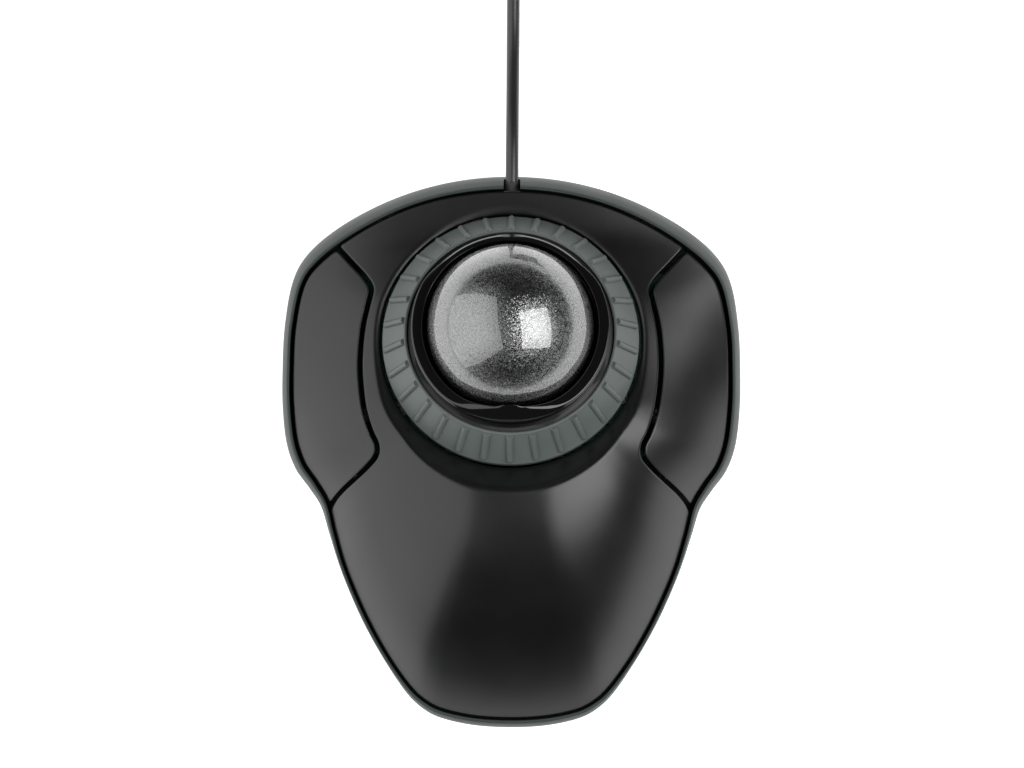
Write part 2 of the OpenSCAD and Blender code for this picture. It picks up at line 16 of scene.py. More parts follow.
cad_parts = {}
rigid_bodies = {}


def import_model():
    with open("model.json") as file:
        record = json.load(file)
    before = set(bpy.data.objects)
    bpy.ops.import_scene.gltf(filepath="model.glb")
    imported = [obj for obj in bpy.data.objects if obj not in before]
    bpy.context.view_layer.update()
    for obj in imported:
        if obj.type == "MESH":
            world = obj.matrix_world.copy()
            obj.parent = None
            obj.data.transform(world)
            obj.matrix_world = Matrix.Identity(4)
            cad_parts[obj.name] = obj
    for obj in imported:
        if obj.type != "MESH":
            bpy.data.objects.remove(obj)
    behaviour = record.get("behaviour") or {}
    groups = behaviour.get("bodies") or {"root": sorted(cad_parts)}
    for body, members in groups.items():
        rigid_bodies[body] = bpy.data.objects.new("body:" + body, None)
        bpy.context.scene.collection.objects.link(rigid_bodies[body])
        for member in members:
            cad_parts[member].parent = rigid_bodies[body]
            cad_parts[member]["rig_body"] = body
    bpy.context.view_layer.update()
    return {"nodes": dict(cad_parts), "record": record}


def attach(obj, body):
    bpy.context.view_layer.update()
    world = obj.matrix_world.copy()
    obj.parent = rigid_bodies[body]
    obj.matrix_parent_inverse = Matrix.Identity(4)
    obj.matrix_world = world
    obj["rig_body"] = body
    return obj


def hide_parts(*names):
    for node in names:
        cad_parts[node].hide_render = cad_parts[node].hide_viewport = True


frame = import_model()

MM = 0.001
TAU = 2 * math.pi
scene = bpy.context.scene

# ---------------------------------------------------------------- driving sizes, as in the CAD
LEAN = math.radians(13.5)
RING_CENTRE = np.array([0, 27.3, 25.4]) * MM
RING_R = 31.1 * MM
RING_GAP = 0.7 * MM
BALL_R = 20 * MM
BALL_H = 10.8 * MM
SEAM_GAP = 0.6 * MM
BUTTON_GAP = 1.1 * MM
BUTTON_RIM_GAP = 0.4 * MM
LIP = 0.6 * MM
WALL = 2 * MM
FOOT_H = 1 * MM
CORD_D = 3.2 * MM
CORD_Z = 12.2
COIL_R = 21.2
COIL_X, COIL_Y = COIL_R, 142
COIL_LIFT = 0.5
# Where the coil's winding ends and the tail begins
COIL_TURNS = 11.78
PLUG = np.array([44, 166.8, 4]) * MM
# Radii of the ring, its ribs and the collar in mm, in their own leaning frame
RING_IN = 24.9
RING_BORE = 25.75
COLLAR_IN = 21.05
COLLAR_NECK = 22.75
COLLAR_OUT = 23.6
RIB_R = 0.84
RIBS = 30

# Case outline from front centre to rear centre: x, y, width of the visible rim, height of the seam
SIDE = [
    [0, -68.5, 2.1, 9], [9, -68, 2.1, 9], [17.2, -66.2, 2, 9], [22, -63.6, 1.8, 9.2],
    [26, -59.6, 1.5, 9.4], [31, -52.2, 1.2, 9.8], [35.6, -44.2, 1.2, 10.2],
    [39.4, -36.2, 1.2, 10.6], [42.5, -28.4, 1.2, 11], [45.1, -20.4, 1.5, 11.5],
    [47.1, -14, 1.9, 12], [50, -9.5, 2.2, 12.4], [53.6, -4.5, 2.4, 12.8],
    [55.9, 2, 2.5, 13.2], [56.9, 11, 2.5, 13.8], [57, 20, 2.5, 14.4], [56.5, 31, 2.6, 15],
    [54.6, 42, 3.1, 15.6], [50.8, 49, 3.9, 16], [43.4, 55.4, 4.2, 16.3],
    [33.4, 61.1, 4.1, 16.5], [22.8, 65.2, 4, 16.7], [11.5, 67.7, 4, 16.8], [0, 68.5, 4, 16.8],
]
# Height of the crown of the top cover: y, z
CROWN = [
    [-70, 41], [-40, 40.7], [-20, 40.7], [-8, 40.4], [0, 39.4], [5, 37.9], [10, 35.4],
    [15, 32.8], [20, 30.5], [26, 28.2], [32, 26.2], [40, 23.6], [48, 21.2], [56, 18.7], [70, 17],
]
# Seam between the right button and the top cover, rear to front: x, y
BUTTON_SEAM = [
    [48, 55.6], [41.6, 48.8], [38.6, 45.6], [35.8, 42.6], [34.1, 39.8], [34.6, 36.6],
    [35.8, 31], [36.4, 25], [36.4, 19], [35.4, 11], [33.6, 5], [32.1, 1.8], [32.2, -1],
    [34.5, -3.8], [37.9, -6.9], [41.3, -9.9], [44, -13.2], [47, -19],
]
# How fast the cover falls away from its crown
FALL = 3
# The hollow round the ring: its radius, and how softly it runs into the cover
SCOOP_R = 32.8 * MM
SCOOP_BLEND = 1.6 * MM
# Spacing of the points on the cover and the buttons
SKIN_STEP = 0.9 * MM
RIM_SAMPLES = 16
# Height of a row in a triangular lattice of step 1
ROW = 0.866

# Route of the cord from the case to the coil, and from the coil to the plug
LEAD_ROUTE = [
    [0, 60, CORD_Z], [0, 64, CORD_Z], [0, 68, CORD_Z], [0, 72, 11.9], [0, 76, 11.3],
    [0, 80, 10.2], [0, 84, 8.8], [0, 88, 7.2], [0, 92, 5.6], [0, 96, 4.2], [0, 100, 3],
    [0, 104, 2.2], [0, 108, 1.8], [0, 114, 1.7], [0, 120, 1.9], [0, 125, 2.1], [0, 130, 2.1],
]
TAIL_ROUTE = [
    [7, 123.4, 11.5], [1.8, 129.8, 10.4], [-1.6, 135.8, 8.8], [-3.2, 142, 7], [-2.6, 149, 5.2],
    [0.4, 155.2, 3.7], [4.6, 160.4, 2.6], [9.8, 164, 1.9], [15.6, 166, 1.6], [21.2, 166.6, 1.6],
    [27, 166.7, 1.7], [32, 166.8, 2.1], [36, 166.8, 2.9], [40, 166.8, 3.6], [44, 166.8, 4],
]


# ---------------------------------------------------------------- camera
def add_camera():
    data = bpy.data.cameras.new("camera")
    data.lens = 112.15
    data.sensor_width = 36
    data.clip_start = 0.01
    data.clip_end = 20
    camera = bpy.data.objects.new("camera", data)
    camera.location = (0.00706, 0.003, 0.7982)
    camera.rotation_euler = (math.radians(1), math.radians(0.49), math.radians(0.31))
    scene.collection.objects.link(camera)
    scene.camera = camera


add_camera()


# ---------------------------------------------------------------- curves
def spline_points(points, n, closed=False):
    """A Catmull-Rom curve through the points, n steps to a span."""
    p = np.array(points, float)
    m = len(p)
    spans = range(m) if closed else range(m - 1)
    t = np.arange(n)[:, None] / n
    out = []
    for i in spans:
        if closed:
            a, b, c, d = p[i - 1], p[i], p[(i + 1) % m], p[(i + 2) % m]
        else:
            a, b, c, d = p[max(i - 1, 0)], p[i], p[i + 1], p[min(i + 2, m - 1)]
        cubic = 3 * (b - c) + d - a
        out.append(b + 0.5 * t * (c - a + t * (2 * a - 5 * b + 4 * c - d + t * cubic)))
    if not closed:
        out.append(p[-1:])
    return np.vstack(out)


def resampled(points, step, closed=True):
    """The same curve with evenly spaced points about step apart."""
    p = np.vstack([points, points[:1]]) if closed else np.array(points)
    run = np.concatenate([[0], np.cumsum(np.linalg.norm(np.diff(p[:, :2], axis=0), axis=1))])
    count = max(8, int(round(run[-1] / step)))
    at = np.linspace(0, run[-1], count + 1)
    at = at[:-1] if closed else at
    return np.column_stack([np.interp(at, run, p[:, k]) for k in range(p.shape[1])])


def loop_normals(p):
    """Unit normals in plan, outwards for a loop that runs anticlockwise."""
    t = np.roll(p[:, :2], -1, axis=0) - np.roll(p[:, :2], 1, axis=0)
    n = np.column_stack([t[:, 1], -t[:, 0]])
    return n / np.linalg.norm(n, axis=1)[:, None]


def smooth_step(t):
    t = np.clip(t, 0, 1)
    return t * t * (3 - 2 * t)


# ---------------------------------------------------------------- mesh helpers
def mesh_object(name, verts, faces, smooth_angle=35):
    mesh = bpy.data.meshes.new(name)
    mesh.from_pydata([tuple(v) for v in verts], [], [tuple(int(i) for i in f) for f in faces])
    mesh.validate()
    mesh.update()
    obj = bpy.data.objects.new(name, mesh)
    scene.collection.objects.link(obj)
    smooth(obj, smooth_angle)
    return obj


def smooth(obj, angle=35):
    obj.data.shade_smooth()
    obj.data.set_sharp_from_angle(angle=math.radians(angle))


def apply_modifiers(obj):
    graph = bpy.context.evaluated_depsgraph_get()
    mesh = bpy.data.meshes.new_from_object(obj.evaluated_get(graph))
    obj.modifiers.clear()
    old = obj.data
    obj.data = mesh
    bpy.data.meshes.remove(old)


def grid_faces(rows, cols, start=0, close_rows=False, flip=False):
    """Quads over rows of cols points, closed round each row."""
    faces = []
    for r in range(rows if close_rows else rows - 1):
        a = start + r * cols
        b = start + ((r + 1) % rows) * cols
        for c in range(cols):
            d = (c + 1) % cols
            quad = (a + c, a + d, b + d, b + c)
            faces.append(quad[::-1] if flip else quad)
    return faces


def leaned(p):
    """From the ring's own frame to the frame of the whole mouse."""
    c, s = math.cos(LEAN), math.sin(LEAN)
    p = np.asarray(p, float)
    out = np.column_stack([p[:, 0], c * p[:, 1] + s * p[:, 2], -s * p[:, 1] + c * p[:, 2]])
    return out + RING_CENTRE


def rounded_profile(corners, steps=5):
    """Rounds the corners of a closed outline. Each corner is (x, y, radius)."""
    out = []
    m = len(corners)
    for i in range(m):
        p = np.array(corners[i][:2], float)
        radius = corners[i][2]
        a = np.array(corners[i - 1][:2], float) - p
        b = np.array(corners[(i + 1) % m][:2], float) - p
        la, lb = np.linalg.norm(a), np.linalg.norm(b)
        a, b = a / la, b / lb
        half = math.acos(np.clip(a @ b, -1, 1)) / 2
        if radius <= 0 or half > math.pi / 2 - 0.02:
            out.append(p)
            continue
        reach = min(radius / math.tan(half), 0.49 * la, 0.49 * lb)
        radius = reach * math.tan(half)
        centre = p + (a + b) / np.linalg.norm(a + b) * radius / math.sin(half)
        start, end = p + a * reach - centre, p + b * reach - centre
        sweep = math.atan2(start[0] * end[1] - start[1] * end[0], start @ end)
        for k in range(steps + 1):
            t = sweep * k / steps
            turn = np.array([[math.cos(t), -math.sin(t)], [math.sin(t), math.cos(t)]])
            out.append(centre + turn @ start)
    return np.array(out)


def tube_mesh(name, path, radius, sides=20):
    """A round tube along a path, with flat ends."""
    p = np.array(path)
    tangents = np.gradient(p, axis=0)
    tangents /= np.linalg.norm(tangents, axis=1)[:, None]
    side = np.cross(tangents[0], [0.01, 0.02, 1.0])
    rings = []
    for i, t in enumerate(tangents):
        side = side - t * (side @ t)
        side /= np.linalg.norm(side)
        up = np.cross(side, t)
        a = np.linspace(0, TAU, sides, endpoint=False)[:, None]
        rings.append(p[i] + radius * (np.cos(a) * side + np.sin(a) * up))
    verts = np.vstack(rings)
    faces = grid_faces(len(p), sides)
    faces.append(tuple(range(sides - 1, -1, -1)))
    faces.append(tuple(range((len(p) - 1) * sides, len(p) * sides)))
    return mesh_object(name, verts, faces)


# ---------------------------------------------------------------- the cord, before everything else
def coil_points():
    """The turns of the stored coil: layers wound inwards and outwards in turn."""
    d = CORD_D / MM
    radii = [COIL_R, COIL_R - d, COIL_R - 2 * d]
    turn_r = (radii + radii[::-1]) * 2
    turn_z = [COIL_LIFT + d / 2 + d * (k // 3) for k in range(12)]
    points = []
    steps = 40
    for k in range(int(COIL_TURNS * steps) + 1):
        t = k / steps
        whole = int(t)
        share = float(smooth_step((t - whole - 0.85) / 0.15))
        after = min(whole + 1, 11)
        r = turn_r[whole] + share * (turn_r[after] - turn_r[whole])
        z = turn_z[whole] + share * (turn_z[after] - turn_z[whole])
        a = TAU * t
        points.append([COIL_X - r * math.cos(a), COIL_Y + r * math.sin(a), z])
    return points


def add_cord():
    onto_coil = [0, 136, 2.1]
    lead = spline_points(LEAD_ROUTE + [onto_coil], 3)
    coil = np.array(coil_points())
    tail = spline_points([list(coil[-1])] + TAIL_ROUTE, 4)[1:]
    path = np.vstack([lead, coil, tail]) * MM
    cord = tube_mesh("cord", path, CORD_D / 2)
    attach(cord, "case")
    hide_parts("cord_lead", "cord_coil", "cord_tail")
    length = float(np.sum(np.linalg.norm(np.diff(path, axis=0), axis=1)))
    return cord, path, length


cord, cord_path, cord_length = add_cord()


# ---------------------------------------------------------------- materials
def nodes_of(name):
    mat = bpy.data.materials.new(name)
    mat.use_nodes = True
    tree = mat.node_tree
    return mat, tree, tree.nodes["Principled BSDF"]


def add(tree, kind, **settings):
    """Adds a node and sets its own settings."""
    node = tree.nodes.new(kind)
    for key, value in settings.items():
        setattr(node, key, value)
    return node


def join(tree, a, out, b, into):
    """Links socket out of node a to socket into of node b."""
    tree.links.new(a.outputs[out], b.inputs[into])


def object_coords(tree):
    return add(tree, "ShaderNodeTexCoord")


def noise(tree, coords, scale, detail=2.0, roughness=0.5):
    node = add(tree, "ShaderNodeTexNoise")
    node.inputs["Scale"].default_value = scale
    node.inputs["Detail"].default_value = detail
    node.inputs["Roughness"].default_value = roughness
    join(tree, coords, "Object", node, "Vector")
    return node


def ramp(tree, source, out, low, high, first, last):
    """Maps a value to a colour: first at low, last at high."""
    node = add(tree, "ShaderNodeValToRGB")
    node.color_ramp.elements[0].position = low
    node.color_ramp.elements[1].position = high
    node.color_ramp.elements[0].color = (*first, 1)
    node.color_ramp.elements[1].color = (*last, 1)
    join(tree, source, out, node, "Fac")
    return node


def grey(value):
    return (value, value, value)


def scaled(colour, factor):
    return tuple(min(1, c * factor) for c in colour)


def plastic(name, colour, roughness, grain=0.12, grain_scale=5000, mottle=0.08, coat=0.0, specular=0.5):
    """Moulded plastic: a fine spark texture, and a slight unevenness of colour and of sheen."""
    mat, tree, bsdf = nodes_of(name)
    coords = object_coords(tree)
    cloud = noise(tree, coords, 90, 3)
    tint = ramp(tree, cloud, "Fac", 0.3, 0.7, scaled(colour, 1 - mottle), scaled(colour, 1 + mottle))
    join(tree, tint, "Color", bsdf, "Base Color")
    sheen = ramp(tree, cloud, "Fac", 0.3, 0.7, grey(roughness * 0.94), grey(roughness * 1.06))
    join(tree, sheen, "Color", bsdf, "Roughness")
    fine = noise(tree, coords, grain_scale, 2)
    bump = add(tree, "ShaderNodeBump")
    bump.inputs["Strength"].default_value = grain
    bump.inputs["Distance"].default_value = 0.00003
    join(tree, fine, "Fac", bump, "Height")
    join(tree, bump, "Normal", bsdf, "Normal")
    bsdf.inputs["Specular IOR Level"].default_value = specular
    bsdf.inputs["Coat Weight"].default_value = coat
    bsdf.inputs["Coat Roughness"].default_value = 0.04
    return mat


def metal(name, colour, roughness):
    """Plated or turned metal with faint scratches."""
    mat, tree, bsdf = nodes_of(name)
    coords = object_coords(tree)
    cloud = noise(tree, coords, 400, 4, 0.6)
    sheen = ramp(tree, cloud, "Fac", 0.3, 0.7, grey(roughness * 0.8), grey(roughness * 1.3))
    tint = ramp(tree, cloud, "Fac", 0.3, 0.7, scaled(colour, 0.93), colour)
    join(tree, sheen, "Color", bsdf, "Roughness")
    join(tree, tint, "Color", bsdf, "Base Color")
    bsdf.inputs["Metallic"].default_value = 1
    return mat


def clear(name, colour, roughness):
    """Clear or tinted acrylic."""
    mat, tree, bsdf = nodes_of(name)
    coords = object_coords(tree)
    cloud = noise(tree, coords, 200, 2)
    tint = ramp(tree, cloud, "Fac", 0.3, 0.7, scaled(colour, 0.97), colour)
    join(tree, tint, "Color", bsdf, "Base Color")
    bsdf.inputs["Roughness"].default_value = roughness
    bsdf.inputs["Transmission Weight"].default_value = 0.9
    bsdf.inputs["IOR"].default_value = 1.49
    return mat


def flake_resin(name):
    """Silver metallic flakes under a clear coat. Each has its own tilt, brightness and sheen."""
    mat, tree, bsdf = nodes_of(name)
    coords = object_coords(tree)
    cells = add(tree, "ShaderNodeTexVoronoi")
    cells.inputs["Scale"].default_value = 6500
    join(tree, coords, "Object", cells, "Vector")
    parts = add(tree, "ShaderNodeSeparateColor")
    join(tree, cells, "Color", parts, "Color")
    shade = ramp(tree, parts, "Red", 0.1, 0.95, (0.085, 0.086, 0.087), (0.22, 0.222, 0.224))
    join(tree, shade, "Color", bsdf, "Base Color")
    sheen = ramp(tree, parts, "Green", 0.1, 0.9, grey(0.08), grey(0.45))
    join(tree, sheen, "Color", bsdf, "Roughness")
    tilt = add(tree, "ShaderNodeVectorMath", operation="SUBTRACT")
    tilt.inputs[1].default_value = (0.5, 0.5, 0.5)
    join(tree, cells, "Color", tilt, 0)
    amount = add(tree, "ShaderNodeVectorMath", operation="SCALE")
    amount.inputs["Scale"].default_value = 0.4
    join(tree, tilt, "Vector", amount, 0)
    face = add(tree, "ShaderNodeNewGeometry")
    turned = add(tree, "ShaderNodeVectorMath", operation="ADD")
    join(tree, face, "Normal", turned, 0)
    join(tree, amount, "Vector", turned, 1)
    unit = add(tree, "ShaderNodeVectorMath", operation="NORMALIZE")
    join(tree, turned, "Vector", unit, 0)
    join(tree, unit, "Vector", bsdf, "Normal")
    bsdf.inputs["Metallic"].default_value = 1
    bsdf.inputs["Coat Weight"].default_value = 1
    bsdf.inputs["Coat Roughness"].default_value = 0.015
    bsdf.inputs["Coat IOR"].default_value = 1.7
    return mat


def circuit(name):
    """Green solder mask with darker bare areas between the copper tracks."""
    mat, tree, bsdf = nodes_of(name)
    coords = object_coords(tree)
    tracks = add(tree, "ShaderNodeTexVoronoi", distance="MANHATTAN")
    tracks.inputs["Scale"].default_value = 350
    join(tree, coords, "Object", tracks, "Vector")
    tint = ramp(tree, tracks, "Distance", 0.3, 0.34, (0.012, 0.09, 0.03), (0.02, 0.16, 0.05))
    join(tree, tint, "Color", bsdf, "Base Color")
    bsdf.inputs["Roughness"].default_value = 0.4
    return mat


def fabric(name, colour):
    """Diagonal weave of the cord's tie."""
    mat, tree, bsdf = nodes_of(name)
    coords = object_coords(tree)
    weave = add(tree, "ShaderNodeTexWave", wave_type="BANDS", bands_direction="DIAGONAL")
    weave.inputs["Scale"].default_value = 500
    weave.inputs["Distortion"].default_value = 1.5
    join(tree, coords, "Object", weave, "Vector")
    tint = ramp(tree, weave, "Fac", 0.2, 0.8, scaled(colour, 0.7), scaled(colour, 1.3))
    join(tree, tint, "Color", bsdf, "Base Color")
    bump = add(tree, "ShaderNodeBump")
    bump.inputs["Strength"].default_value = 0.4
    bump.inputs["Distance"].default_value = 0.0002
    join(tree, weave, "Fac", bump, "Height")
    join(tree, bump, "Normal", bsdf, "Normal")
    bsdf.inputs["Roughness"].default_value = 0.9
    return mat


MATERIALS = {
    "rim_plastic": plastic("rim_plastic", (0.028, 0.037, 0.034), 0.5, grain=0.15, specular=0.22),
    "cover_plastic": plastic("cover_plastic", (0.003, 0.003, 0.0032), 0.31, grain=0.18),
    "button_plastic": plastic("button_plastic", (0.005, 0.005, 0.0053), 0.34, grain=0.25),
    "ring_plastic": plastic("ring_plastic", (0.09, 0.105, 0.1), 0.42, grain=0.12),
    "gloss_black": plastic("gloss_black", (0.004, 0.004, 0.004), 0.08, grain=0.01, mottle=0.02),
    "ball_resin": flake_resin("ball_resin"),
    "inner_plastic": plastic("inner_plastic", (0.006, 0.006, 0.0062), 0.45),
    "white_plastic": plastic("white_plastic", (0.75, 0.75, 0.72), 0.4, grain=0.05, mottle=0.03),
    "clear_lens": clear("clear_lens", (0.95, 0.97, 1), 0.05),
    "red_lens": clear("red_lens", (0.9, 0.1, 0.08), 0.1),
    "ceramic": plastic("ceramic", (0.85, 0.84, 0.8), 0.12, grain=0.01, mottle=0.02),
    "steel": metal("steel", (0.62, 0.62, 0.63), 0.28),
    "circuit_board": circuit("circuit_board"),
    "chip_epoxy": plastic("chip_epoxy", (0.015, 0.015, 0.016), 0.5, grain=0.3),
    "rubber": plastic("rubber", (0.02, 0.02, 0.021), 0.65, grain=0.3),
    "cord_jacket": plastic("cord_jacket", (0.014, 0.014, 0.015), 0.35, grain=0.08, grain_scale=2500),
    "tie_fabric": fabric("tie_fabric", (0.02, 0.02, 0.021)),
    "label_film": plastic("label_film", (0.6, 0.61, 0.61), 0.3, grain=0.05, mottle=0.02),
    "plug_steel": metal("plug_steel", (0.7, 0.71, 0.73), 0.2),
    "gold": metal("gold", (0.9, 0.66, 0.28), 0.2),
}
cord.data.materials.append(MATERIALS["cord_jacket"])


def dress(obj, slot):
    """Gives an object the finish of a material slot."""
    obj.data.materials.clear()
    obj.data.materials.append(MATERIALS[slot])


def fit(obj, body, slot, *nodes):
    """Finishes a new piece: the body it moves with, its finish and the CAD nodes it stands for."""
    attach(obj, body)
    dress(obj, slot)
    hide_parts(*nodes)
    return obj


# ---------------------------------------------------------------- case surface
def case_outline():
    left = [[-x, y, w, z] for x, y, w, z in SIDE[-2:0:-1]]
    rim = resampled(spline_points(SIDE + left, RIM_SAMPLES, closed=True), 0.6)
    rim[:, 0] = np.where(np.abs(rim[:, 0]) < 1e-6, 0, rim[:, 0])
    return rim * MM


RIM = case_outline()
RIM_NORMALS = loop_normals(RIM)
HALF = len(RIM) // 2


def inset(width):
    """The case outline moved inwards by width, which can differ round the outline."""
    return RIM[:, :2] - np.reshape(width, (-1, 1)) * RIM_NORMALS


def edge_table():
    """Distance and height of the cover's outer edge against the angle round the ring, right half."""
    edge = inset(RIM[:, 2] + SEAM_GAP)[: HALF + 1]
    dx, dy = edge[:, 0], edge[:, 1] - RING_CENTRE[1]
    return np.arctan2(dx, -dy), np.hypot(dx, dy), RIM[: HALF + 1, 3]


EDGE_ANGLE, EDGE_REACH, EDGE_HEIGHT = edge_table()
CROWN_LINE = spline_points(CROWN, 16) * MM


def skin_height(p):
    """Height of the cover's outer surface at points in plan."""
    x, y = np.abs(p[:, 0]), p[:, 1]
    dy = y - RING_CENTRE[1]
    a = np.arctan2(x, -dy)
    s = np.hypot(x, dy) / np.interp(a, EDGE_ANGLE, EDGE_REACH)
    low = np.interp(a, EDGE_ANGLE, EDGE_HEIGHT)
    crown = np.interp(y, CROWN_LINE[:, 0], CROWN_LINE[:, 1])
    dome = low + (crown - low) * (1 - s**FALL)
    plane = RING_CENTRE[2] - math.tan(LEAN) * dy
    scoop = plane + np.hypot(x, dy / math.cos(LEAN)) - SCOOP_R
    h = np.clip(0.5 + 0.5 * (scoop - dome) / SCOOP_BLEND, 0, 1)
    return scoop + (dome - scoop) * h - SCOOP_BLEND * h * (1 - h)


def crossings(a, b):
    """Where two open lines in plan cross: (place on a, place on b), in steps from their starts."""
    r, s = np.diff(a, axis=0), np.diff(b, axis=0)
    gap = b[None, :-1] - a[:-1, None]
    area = r[:, None, 0] * s[None, :, 1] - r[:, None, 1] * s[None, :, 0]
    with np.errstate(divide="ignore", invalid="ignore"):
        t = (gap[..., 0] * s[None, :, 1] - gap[..., 1] * s[None, :, 0]) / area
        u = (gap[..., 0] * r[:, None, 1] - gap[..., 1] * r[:, None, 0]) / area
    hits = np.argwhere((t >= 0) & (t < 1) & (u >= 0) & (u < 1))
    return sorted((i + t[i, j], j + u[i, j]) for i, j in hits)


def stretch(line, start, end):
    """The part of a line between two places counted in steps."""
    inner = np.arange(math.ceil(start + 1e-6), math.floor(end - 1e-6) + 1)
    at = np.concatenate([[start], inner, [end]])
    steps = np.arange(len(line))
    return np.column_stack([np.interp(at, steps, line[:, k]) for k in range(2)])


def eased(loop, reach, step):
    """Rounds the corners of a closed loop by averaging along it, then spaces its points evenly."""
    fine = resampled(loop, 0.1 * MM)
    half = max(1, int(round(reach / (0.1 * MM))))
    for _ in range(2):
        wrapped = np.vstack([fine[-half:], fine, fine[:half]])
        total = np.cumsum(np.vstack([[[0, 0]], wrapped]), axis=0)
        fine = (total[2 * half + 1 :] - total[: -2 * half - 1]) / (2 * half + 1)
    return resampled(fine, step)


SEAM = spline_points(BUTTON_SEAM, 12) * MM


def seam_moved(outwards):
    t = np.gradient(SEAM, axis=0)
    n = np.column_stack([t[:, 1], -t[:, 0]])
    return SEAM - outwards * n / np.linalg.norm(n, axis=1)[:, None]


def cover_loop():
    edge = inset(RIM[:, 2] + SEAM_GAP)[: HALF + 1]
    seam = seam_moved(-BUTTON_GAP / 2)
    (front, seam_front), (rear, seam_rear) = crossings(edge, seam)[:2]
    lo, hi = sorted((seam_front, seam_rear))
    right = np.vstack([stretch(edge, 0, front), stretch(seam, lo, hi)[::-1], stretch(edge, rear, HALF)])
    left = right[::-1] * [-1, 1]
    return eased(np.vstack([right[:-1], left[:-1]]), 0.35 * MM, 0.5 * MM)


def button_loop():
    edge = inset(RIM[:, 2] + SEAM_GAP + BUTTON_RIM_GAP)[: HALF + 1]
    seam = seam_moved(BUTTON_GAP / 2)
    (front, seam_front), (rear, seam_rear) = crossings(edge, seam)[:2]
    lo, hi = sorted((seam_front, seam_rear))
    loop = np.vstack([stretch(edge, front, rear), stretch(seam, lo, hi)])
    return eased(loop, 0.5 * MM, 0.5 * MM)


def hole_loop():
    """Edge of the ring's hole, clockwise: where a cylinder on the ring's axis meets the skin."""
    t = np.linspace(TAU, 0, 420, endpoint=False)
    r = RING_R + RING_GAP
    h = np.zeros_like(t)
    for _ in range(12):
        p = leaned(np.column_stack([r * np.cos(t), r * np.sin(t), h]))
        h += skin_height(p[:, :2]) - p[:, 2]
    return leaned(np.column_stack([r * np.cos(t), r * np.sin(t), h]))[:, :2]


def triangulated(loops, loose, epsilon=1e-4):
    """Triangles between the loops and the loose points, all in mm for the sake of precision."""
    points = [Vector(p / MM) for loop in loops for p in loop]
    edges = []
    start = 0
    for loop in loops:
        n = len(loop)
        edges += [(start + i, start + (i + 1) % n) for i in range(n)]
        start += n
    points += [Vector(p / MM) for p in loose]
    verts, _, faces, origins, _, _ = delaunay_2d_cdt(points, edges, [], 2, epsilon, True)
    flat = np.array([v[:] for v in verts]) * MM
    first = [min(o) if o else -1 for o in origins]
    middles = np.array([flat[list(f)].mean(axis=0) for f in faces])
    faces = [f for f, kept in zip(faces, enclosed(middles, loops)) if kept]
    return flat, faces, first


def enclosed(p, loops):
    """Whether each point lies between the loops, by counting edges to its right."""
    count = np.zeros(len(p), int)
    for loop in loops:
        a, b = loop, np.roll(loop, -1, axis=0)
        for (ax, ay), (bx, by) in zip(a, b):
            if ay != by:
                spans = (p[:, 1] >= min(ay, by)) & (p[:, 1] < max(ay, by))
                count += spans & (p[:, 0] < ax + (p[:, 1] - ay) * (bx - ax) / (by - ay))
    return count % 2 == 1


def hexagons(loops, step, keep_off):
    """A triangular lattice of points inside the loops, clear of them by keep_off."""
    outer = loops[0]
    tree = kdtree.KDTree(sum(len(loop) for loop in loops))
    for i, p in enumerate(np.vstack(loops)):
        tree.insert((p[0], p[1], 0), i)
    tree.balance()
    lo, hi = outer.min(axis=0), outer.max(axis=0)
    lattice = []
    rows = int((hi[1] - lo[1]) / (step * ROW)) + 1
    cols = int((hi[0] - lo[0]) / step) + 1
    for r in range(rows):
        for c in range(cols):
            p = (lo[0] + (c + 0.5 * (r % 2)) * step, lo[1] + r * step * ROW)
            if tree.find((p[0], p[1], 0))[2] > keep_off:
                lattice.append(p)
    lattice = np.array(lattice)
    return lattice[enclosed(lattice, loops)]


